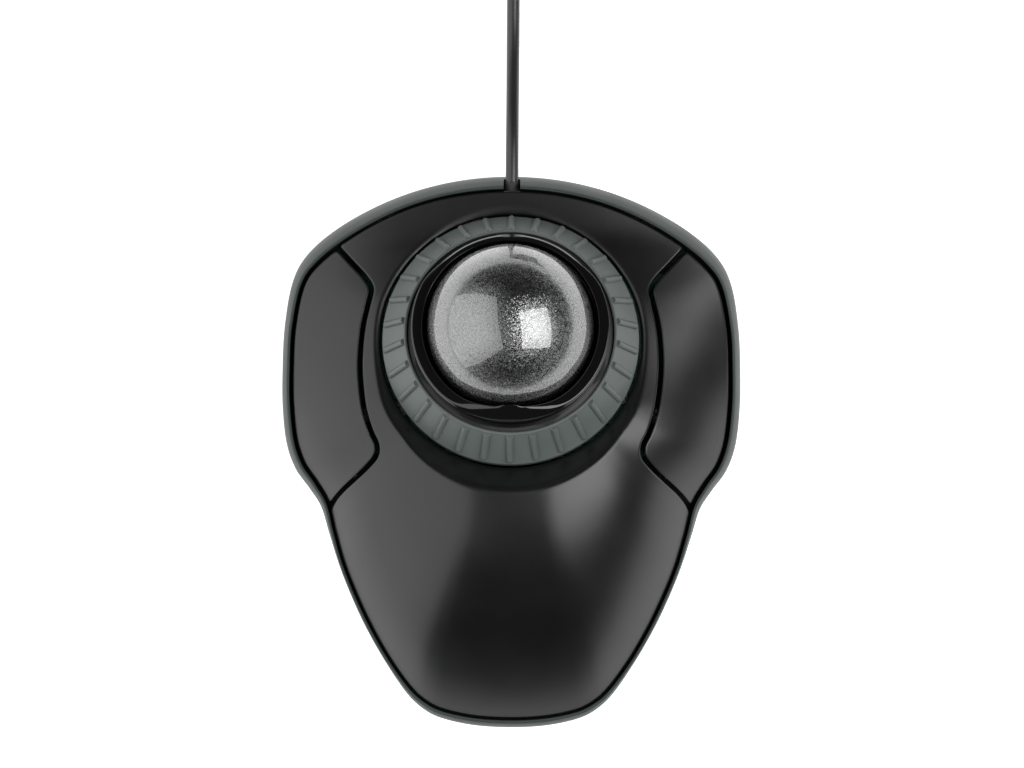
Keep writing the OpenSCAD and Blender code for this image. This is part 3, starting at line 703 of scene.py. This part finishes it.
def panel(name, loops, height, roll, extra=None, step=SKIN_STEP):
    """A moulded panel: a skin with a rolled edge over the area between the loops, with its side
    walls and its underside. Loops run so that the panel lies on their left."""
    boundary = sum(len(loop) for loop in loops)
    rows, drops = [], []
    dense = np.vstack([resampled(loop, 0.1 * MM) for loop in loops])
    tree = kdtree.KDTree(len(dense))
    for i, p in enumerate(dense):
        tree.insert((p[0], p[1], 0), i)
    tree.balance()
    for turn in (66, 44, 22, 0, -20):
        off = roll * (1 - math.sin(math.radians(turn)))
        drop = roll * (1 - math.cos(math.radians(max(turn, 0))))
        for loop in loops:
            for p in loop - off * loop_normals(loop):
                if tree.find((p[0], p[1], 0))[2] > 0.96 * off:
                    rows.append(p)
                    drops.append(drop)
    inner = [hexagons(loops, step, 1.34 * roll + 0.45 * step)]
    if extra is not None:
        spaced = kdtree.KDTree(len(extra))
        for i, p in enumerate(extra):
            spaced.insert((p[0], p[1], 0), i)
        spaced.balance()
        inner = [np.array([p for p in inner[0] if spaced.find((p[0], p[1], 0))[2] > 0.5 * step])]
        inner.append(np.array([p for p in extra if tree.find((p[0], p[1], 0))[2] > 1.5 * roll]))
    loose = np.vstack([np.array(rows)] + inner)
    flat, faces, first = triangulated(loops, loose)
    drop = np.array([0.0] * len(flat))
    for i, f in enumerate(first):
        if 0 <= f < boundary:
            drop[i] = roll
        elif boundary <= f < boundary + len(rows):
            drop[i] = drops[f - boundary]
    top = np.column_stack([flat, height(flat) - drop])
    low_flat, low_faces, low_first = triangulated(loops, hexagons(loops, 5 * step, 2.5 * step))
    low = np.column_stack([low_flat, height(low_flat) - WALL])
    verts = np.vstack([top, low])
    n = len(top)
    all_faces = [tuple(f) for f in faces] + [tuple(n + i for i in f[::-1]) for f in low_faces]
    up = {f: i for i, f in enumerate(first) if f >= 0}
    down = {f: n + i for i, f in enumerate(low_first) if f >= 0}
    start = 0
    for loop in loops:
        m = len(loop)
        for i in range(m):
            a, b = start + i, start + (i + 1) % m
            all_faces.append((up[b], up[a], down[a], down[b]))
        start += m
    return mesh_object(name, verts, all_faces)


def crater_points():
    """Rows of points from the ring's hole to just past the edge of the hollow round it."""
    t = np.linspace(0, TAU, 480, endpoint=False)
    ray = np.column_stack([np.cos(t), np.sin(t)])
    centre = RING_CENTRE[:2]
    near = np.full(len(t), RING_R)
    far = np.full(len(t), RING_R + 16 * MM)
    for _ in range(30):
        mid = (near + far) / 2
        p = centre + ray * mid[:, None]
        dy = p[:, 1] - centre[1]
        scoop = RING_CENTRE[2] - math.tan(LEAN) * dy + np.hypot(p[:, 0], dy / math.cos(LEAN)) - SCOOP_R
        inside = skin_height(p) > scoop - 0.5 * SCOOP_BLEND
        near, far = np.where(inside, mid, near), np.where(inside, far, mid)
    reach = np.maximum(far, RING_R + 1.5 * MM) + 1.2 * MM
    points = []
    for k in range(40):
        r = RING_R + RING_GAP + (0.5 + 0.4 * k) * MM
        turn = (k % 2) * TAU / 960
        keep = r < reach
        around = t[keep] + turn
        points.append(centre + r * np.column_stack([np.cos(around), np.sin(around)]))
    return np.vstack([p for p in points if len(p)])


# ---------------------------------------------------------------- cover and buttons
top_cover = panel("cover", [cover_loop(), hole_loop()], skin_height, 0.45 * MM, crater_points())
fit(top_cover, "case", "cover_plastic", "top_cover")


def add_buttons():
    loop = button_loop()
    right = panel("button_right", [loop], skin_height, 0.45 * MM)
    fit(right, "right_key", "button_plastic", "right_button")
    left = panel("button_left", [loop[::-1] * [-1, 1]], skin_height, 0.45 * MM)
    fit(left, "left_key", "button_plastic", "left_button")


add_buttons()


# ---------------------------------------------------------------- base with its rim
def prism(points, low, high):
    """Vertices and faces of an upright prism over a convex outline in plan."""
    n = len(points)
    verts = [(p[0], p[1], low) for p in points] + [(p[0], p[1], high) for p in points]
    faces = [tuple(range(n - 1, -1, -1)), tuple(range(n, 2 * n))]
    faces += [(i, (i + 1) % n, n + (i + 1) % n, n + i) for i in range(n)]
    return verts, faces


def circle(x, y, r, n=48):
    """Points round a circle in plan, anticlockwise from its right."""
    a = np.linspace(0, TAU, n, endpoint=False)
    return np.column_stack([x + r * np.cos(a), y + r * np.sin(a)])


def joined(name, shapes):
    """One object from several pairs of vertices and faces."""
    verts, faces = [], []
    for v, f in shapes:
        start = len(verts)
        verts += list(v)
        faces += [tuple(start + i for i in face) for face in f]
    return mesh_object(name, verts, faces)


def cut(obj, cutter):
    """Takes the cutter's shape out of the object, and then removes the cutter."""
    mod = obj.modifiers.new("cut", "BOOLEAN")
    mod.operation = "DIFFERENCE"
    mod.object = cutter
    mod.solver = "EXACT"
    apply_modifiers(obj)
    mesh = cutter.data
    bpy.data.objects.remove(cutter)
    bpy.data.meshes.remove(mesh)


# Underside: places of the screws and the round feet, and the corners of the label
CASE_SCREWS = [(30, 53), (-30, 53), (22, -45), (-22, -45)]
ROUND_FEET = [(41, 38), (39, -6), (-41, 38), (-39, -6)]
LABEL = [(-19, -32), (19, -32), (19, -8), (-19, -8)]


def slot_outline():
    """Plan of the pocket for the long front foot: two half circles."""
    right = circle(8 * MM, -56 * MM, 4 * MM)
    left = circle(-8 * MM, -56 * MM, 4 * MM)
    return np.vstack([np.roll(right, 12, axis=0)[:25], np.roll(left, -12, axis=0)[:25]])


def add_base():
    w, seam = RIM[:, 2] - LIP, RIM[:, 3]
    foot, belly = FOOT_H, 4 * MM
    rise = seam - belly
    one = np.ones(len(RIM))
    control = [
        (2.4 * MM * one, foot * one), (0.9 * MM * one, foot + 0.6 * MM * one),
        (0.2 * MM * one, foot + 1.7 * MM * one), (0 * one, belly * one),
        (0.2 * w, belly + 0.4 * rise), (0.52 * w, belly + 0.72 * rise), (w, seam),
    ]
    table = np.array([np.column_stack(c) for c in control])
    levels = spline_points(table.reshape(len(control), -1), 5).reshape(-1, len(RIM), 2)
    levels = list(levels[:-1])
    # The top edge is rounded into the flat lip, and the lip into the inner wall.
    out_r, in_r = 0.22 * MM, 0.12 * MM
    for a in (25, 50, 75, 90):
        t = math.radians(a)
        levels.append(np.column_stack([w + out_r * (1 - math.cos(t)), seam - out_r * (1 - math.sin(t))]))
    for a in (0, 30, 60, 90):
        t = math.radians(a)
        inner = w + LIP - in_r * (1 - math.sin(t))
        levels.append(np.column_stack([inner, seam - in_r * (1 - math.cos(t))]))
    levels.append(np.column_stack([w + LIP, 3 * MM * one]))
    rows = [np.column_stack([inset(level[:, 0]), level[:, 1]]) for level in levels]
    n = len(RIM)
    verts = np.vstack(rows)
    faces = grid_faces(len(rows), n)
    faces.append(tuple(range(n - 1, -1, -1)))
    faces.append(tuple(range((len(rows) - 1) * n, len(rows) * n)))
    base = mesh_object("base", verts, faces)
    pockets = []
    for x, y in CASE_SCREWS:
        pockets.append(prism(circle(x * MM, y * MM, 2.9 * MM), -1 * MM, 3.2 * MM))
    for x, y in ROUND_FEET:
        pockets.append(prism(circle(x * MM, y * MM, 5 * MM), -1 * MM, 1.5 * MM))
    pockets.append(prism(slot_outline(), -1 * MM, 1.5 * MM))
    pockets.append(prism([(x * MM, y * MM) for x, y in LABEL], -1 * MM, 1.3 * MM))
    # The notch in the rear wall that the cord leaves by
    r = CORD_D / 2 + 0.45 * MM
    a = np.linspace(math.pi, TAU, 33)
    notch = [(r * math.cos(t), CORD_Z * MM + r * math.sin(t)) for t in a] + [(r, 0.03), (-r, 0.03)]
    near, far = 0.06, 0.08
    m = len(notch)
    verts = [(x, near, z) for x, z in notch] + [(x, far, z) for x, z in notch]
    sides = [(i, (i + 1) % m, m + (i + 1) % m, m + i) for i in range(m)]
    ends = [tuple(range(m - 1, -1, -1)), tuple(range(m, 2 * m))]
    pockets.append((verts, [f[::-1] for f in sides + ends]))
    cut(base, joined("base_cutter", pockets))
    smooth(base)
    return fit(base, "case", "rim_plastic", "base_shell")


add_base()


# ---------------------------------------------------------------- scroll ring, collar and ball
def add_ring():
    """Conical ring whose grip ribs stand on the cone. Points crowd together across each rib."""
    beside = [0.25, 0.45, 0.6, 0.7, 0.76, 0.86, 1.1]
    across = np.array([-x for x in beside[::-1]] + [0] + beside)
    outer = RING_R / MM
    corners = [
        (25.7, 6.92, 0.2), (25.55, 7.3, 0.2), (RING_IN, 7.22, 0.25), (RING_IN, 6.4, 0),
        (RING_BORE, 6.4, 0), (RING_BORE, -3, 0), (28.4, -3, 0), (28.4, -8, 0.15), (29.6, -8, 0.15),
        (29.6, -1.8, 0), (outer, -1.75, 0.2), (outer, 0, 0.25), (30.8, 0.35, 0.25),
    ]
    edge = rounded_profile(corners, 4)
    share = np.linspace(0, 1, 40)[1:-1, None]
    cone = edge[-1] + (edge[0] - edge[-1]) * share
    profile = np.vstack([edge, cone])
    foot, head = np.array([30.2, 1.1]), np.array([26, 6.5])
    slope = (head - foot) / np.linalg.norm(head - foot)
    length = float(np.linalg.norm(head - foot))
    rows = []
    gap_share = np.linspace(0, 1, 6)[1:-1]
    for i, (r, h) in enumerate(profile):
        along = float((np.array([r, h]) - foot) @ slope)
        beyond = max(0.0, -along, along - length)
        angles, lifts = [], []
        for k in range(RIBS):
            middle = -math.pi / 2 + k * TAU / RIBS
            for x in across:
                room = RIB_R**2 - x**2 - beyond**2
                angles.append(middle + x / r)
                lifts.append(1.05 * math.sqrt(room) if room > 0 and i >= len(edge) else 0.0)
            a, b = middle + across[-1] / r, middle + TAU / RIBS + across[0] / r
            for g in gap_share:
                angles.append(a + (b - a) * g)
                lifts.append(0.0)
        angles, lifts = np.array(angles), np.array(lifts)
        rr = r + lifts * slope[1]
        hh = h - lifts * slope[0]
        rows.append(np.column_stack([rr * np.cos(angles), rr * np.sin(angles), hh]))
    verts = leaned(np.vstack(rows) * MM)
    ring = mesh_object("ring", verts, grid_faces(len(rows), len(rows[0]), close_rows=True, flip=True), 40)
    # Windows in the skirt, which the light barrier counts
    windows = []
    plan = [(27.6, -1.6), (31.4, -1.6), (31.4, 1.6), (27.6, 1.6)]
    for k in range(24):
        a = math.radians(15 * k)
        c, s = math.cos(a), math.sin(a)
        box = [(r * c - t * s, r * s + t * c) for r, t in plan]
        verts, faces = prism([(x * MM, y * MM) for x, y in box], -7 * MM, -4 * MM)
        windows.append((leaned(verts), faces))
    cut(ring, joined("ring_cutter", windows))
    smooth(ring, 40)
    return fit(ring, "ring", "ring_plastic", "scroll_ring")


add_ring()


def collar_corners(turn):
    """Corners of the collar's section at an angle round the ring: (radius, height, rounding).
    At the front the top rises to a ridge in two halves that meet in a cusp."""
    s = math.sin(turn)
    cusp = math.exp(-((s * s - 1) / 0.012) ** 2)
    if s < 0:
        front_y = 20.9
        ridge = COLLAR_OUT * (1 + (COLLAR_OUT * -s / front_y) ** 20) ** -0.05 - 0.5 * cusp
        rise = (COLLAR_OUT - ridge) / 3.4
        slim = 0
        rounding = 1 + 4 * rise
    else:
        slim = float(smooth_step((s - 0.4) / 0.4))
        ridge = COLLAR_OUT - 1.45 * slim - 0.3 * cusp
        rise = 0.2 * slim
        rounding = 1 - 3 * rise
    return [
        (COLLAR_NECK, 6.3, 0), (23.7 - 0.9 * slim, 6.3, 0.1),
        (23.85 - 0.8 * rise - 0.8 * slim, 12 + 0.1 * rise, 0.12),
        (ridge, 12.6 + 2.3 * rise, rounding),
        (COLLAR_IN - 1.05 * rise**2, 12.4 + 2.7 * rise, 0.3),
        (COLLAR_IN, 9.1, 0.1), (COLLAR_NECK, 9.1, 0),
    ]


def add_collar():
    n = 480
    rows = []
    for k in range(n):
        a = TAU * k / n
        c, s = math.cos(a), math.sin(a)
        rows.append([(r * c, r * s, h) for r, h in rounded_profile(collar_corners(a), 8)])
    verts = leaned(np.array(rows).reshape(-1, 3) * MM)
    collar = mesh_object("collar", verts, grid_faces(n, len(rows[0]), close_rows=True))
    return fit(collar, "case", "gloss_black", "ball_collar")


add_collar()


def add_ball():
    """Sphere with its poles on the axis that it rolls about."""
    rings, sides = 96, 192
    verts = [(-BALL_R, 0, 0)]
    for i in range(1, rings):
        a = math.pi * i / rings
        for j in range(sides):
            b = TAU * j / sides
            x, r = -BALL_R * math.cos(a), BALL_R * math.sin(a)
            verts.append((x, r * math.cos(b), r * math.sin(b)))
    verts.append((BALL_R, 0, 0))
    faces = []
    for j in range(sides):
        faces.append((0, 1 + (j + 1) % sides, 1 + j))
        last = 1 + (rings - 2) * sides
        faces.append((len(verts) - 1, last + j, last + (j + 1) % sides))
    faces += grid_faces(rings - 1, sides, start=1)
    ball = mesh_object("ball_skin", verts, faces)
    ball.location = Vector(leaned([[0, 0, BALL_H]])[0])
    return fit(ball, "track_ball", "ball_resin", "ball")


add_ball()


# ---------------------------------------------------------------- small pieces: rounded copies of the CAD
def rounded_copy(node, body, slot, width):
    """A copy of a CAD node with its edges rounded."""
    mesh = frame["nodes"][node].data.copy()
    bm = bmesh.new()
    bm.from_mesh(mesh)
    bmesh.ops.remove_doubles(bm, verts=bm.verts, dist=1e-6)
    bmesh.ops.dissolve_limit(bm, angle_limit=math.radians(1), verts=bm.verts, edges=bm.edges)
    bm.to_mesh(mesh)
    bm.free()
    mesh.materials.clear()
    obj = bpy.data.objects.new(node + "_rounded", mesh)
    scene.collection.objects.link(obj)
    bevel = obj.modifiers.new("bevel", "BEVEL")
    bevel.width = width
    bevel.segments = 2
    bevel.limit_method = "ANGLE"
    bevel.angle_limit = math.radians(40)
    bevel.use_clamp_overlap = True
    apply_modifiers(obj)
    smooth(obj)
    return fit(obj, body, slot, node)


BODY_OF = {node: obj["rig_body"] for node, obj in frame["nodes"].items()}
# Finish and width of the rounded edges in mm
ROUNDED = {
    "cord_gland": ("rubber", 0.2), "case_screws": ("steel", 0.12), "blank_label": ("label_film", 0.05),
    "rubber_feet": ("rubber", 0.3), "cord_tie": ("tie_fabric", 0.25), "plug_tongue": ("white_plastic", 0.1),
    "plug_contacts": ("gold", 0.03), "ring_retainer": ("inner_plastic", 0.15),
}
for node, (finish, width) in ROUNDED.items():
    rounded_copy(node, BODY_OF[node], finish, width * MM)


# ---------------------------------------------------------------- plug
def plug_box(name, low, high, radius=0.0):
    """A box between two corners in mm from the plug's own origin, with rounded edges if asked."""
    low, high = PLUG + np.array(low) * MM, PLUG + np.array(high) * MM
    plan = [(low[0], low[1]), (high[0], low[1]), (high[0], high[1]), (low[0], high[1])]
    obj = mesh_object(name, *prism(plan, low[2], high[2]))
    if radius:
        bevel = obj.modifiers.new("bevel", "BEVEL")
        bevel.width = radius
        bevel.segments = 4
        apply_modifiers(obj)
    smooth(obj)
    return obj


def add_plug():
    """Moulded plug body: a block with softened edges that narrows into a ribbed sleeve on the cord."""
    x, y, z = PLUG
    # Each section is [distance along, half width, half height, how square]
    sections = [
        [0, 2.3, 2.3, 0], [0.3, 2.55, 2.55, 0], [1.6, 2.6, 2.6, 0], [1.8, 2.2, 2.2, 0], [2.6, 2.2, 2.2, 0],
        [2.8, 2.6, 2.6, 0], [4, 2.6, 2.6, 0], [4.2, 2.2, 2.2, 0], [5, 2.2, 2.2, 0], [5.2, 2.6, 2.6, 0],
        [6.6, 2.6, 2.6, 0], [7.4, 2.9, 2.6, 0.1], [8.05, 4.2, 2.8, 0.4], [8.1, 6.6, 3.2, 0.8],
        [8.4, 7.5, 3.7, 1], [9.2, 7.9, 3.95, 1], [10.4, 8, 4, 1], [16, 8, 4, 1], [22.8, 8, 4, 1],
        [23.6, 7.9, 3.92, 1], [24, 7.6, 3.65, 1],
    ]
    n = 64
    a = np.linspace(0, TAU, n, endpoint=False)
    rows = []
    for along, half_w, half_h, square in sections:
        power = 1 - 0.72 * square
        c, s = np.cos(a), np.sin(a)
        yy = half_w * np.sign(c) * np.abs(c) ** power
        zz = half_h * np.sign(s) * np.abs(s) ** power
        rows.append(np.column_stack([x + along * MM + 0 * a, y + yy * MM, z + zz * MM]))
    faces = grid_faces(len(rows), n)
    faces.append(tuple(range(n - 1, -1, -1)))
    faces.append(tuple(range((len(rows) - 1) * n, len(rows) * n)))
    body = mesh_object("plug_moulding", np.vstack(rows), faces, 50)
    cut(body, plug_box("plug_hole", (20, -6, -2.25), (25, 6, 2.25)))
    smooth(body, 50)
    fit(body, "case", "rubber", "plug_body")
    shell = plug_box("plug_can", (20, -6, -2.25), (36, 6, 2.25), 0.3 * MM)
    cut(shell, plug_box("can_hole", (21, -5.65, -1.9), (38, 5.65, 1.9)))
    for middle in (-2.6, 2.6):
        cut(shell, plug_box("can_window", (29.5, middle - 1, -4), (31.7, middle + 1, 4)))
    smooth(shell)
    fit(shell, "case", "plug_steel", "plug_shell")
    return body, shell


plug_parts = add_plug()

# ---------------------------------------------------------------- CAD nodes that are shown as they are
FINISHES = {s["node"]: s["material_slot"] for s in frame["record"]["subparts"]}
for node, obj in frame["nodes"].items():
    if not obj.hide_render:
        dress(obj, FINISHES[node])
        smooth(obj)


# ---------------------------------------------------------------- floor, light and view
def add_floor():
    """Pale floor. It glows a little round the mouse, as a light table does, but not further out."""
    s = 6.0
    floor = mesh_object("floor", [(-s, -s, 0), (s, -s, 0), (s, s, 0), (-s, s, 0)], [(0, 1, 2, 3)])
    mat, tree, bsdf = nodes_of("floor_white")
    bsdf.inputs["Base Color"].default_value = (0.7, 0.7, 0.7, 1)
    bsdf.inputs["Roughness"].default_value = 0.8
    bsdf.inputs["Specular IOR Level"].default_value = 0.2
    reach = add(tree, "ShaderNodeVectorMath", operation="LENGTH")
    join(tree, object_coords(tree), "Object", reach, 0)
    glow = ramp(tree, reach, "Value", 0.3, 0.5, grey(1), grey(0))
    join(tree, glow, "Color", bsdf, "Emission Color")
    bsdf.inputs["Emission Strength"].default_value = 0.8
    floor.data.materials.append(mat)
    return floor


def add_softbox(name, place, size, watts, roll):
    """A rectangular light aimed at the ball's foot and turned about its own axis by roll degrees."""
    data = bpy.data.lights.new(name, "AREA")
    data.shape = "RECTANGLE"
    data.size, data.size_y = size
    data.energy = watts
    light = bpy.data.objects.new(name, data)
    light.location = place
    aim = Vector((0, 0.02, 0.03)) - Vector(place)
    light.rotation_mode = "QUATERNION"
    light.rotation_quaternion = aim.to_track_quat("-Z", "Y") @ Quaternion((0, 0, 1), math.radians(roll))
    light.visible_camera = False
    scene.collection.objects.link(light)
    return light


def add_studio():
    world = bpy.data.worlds.new("studio")
    world.use_nodes = True
    background = world.node_tree.nodes["Background"]
    background.inputs["Color"].default_value = (1, 1, 1, 1)
    background.inputs["Strength"].default_value = 0.03
    scene.world = world
    add_floor()
    add_softbox("right_box", (0.472, -0.02, 0.674), (0.75, 0.62), 7.6, 12)
    add_softbox("left_box", (-0.66, -0.01, 0.48), (1.45, 1.38), 12, 8)
    scene.view_settings.view_transform = "Standard"


add_studio()
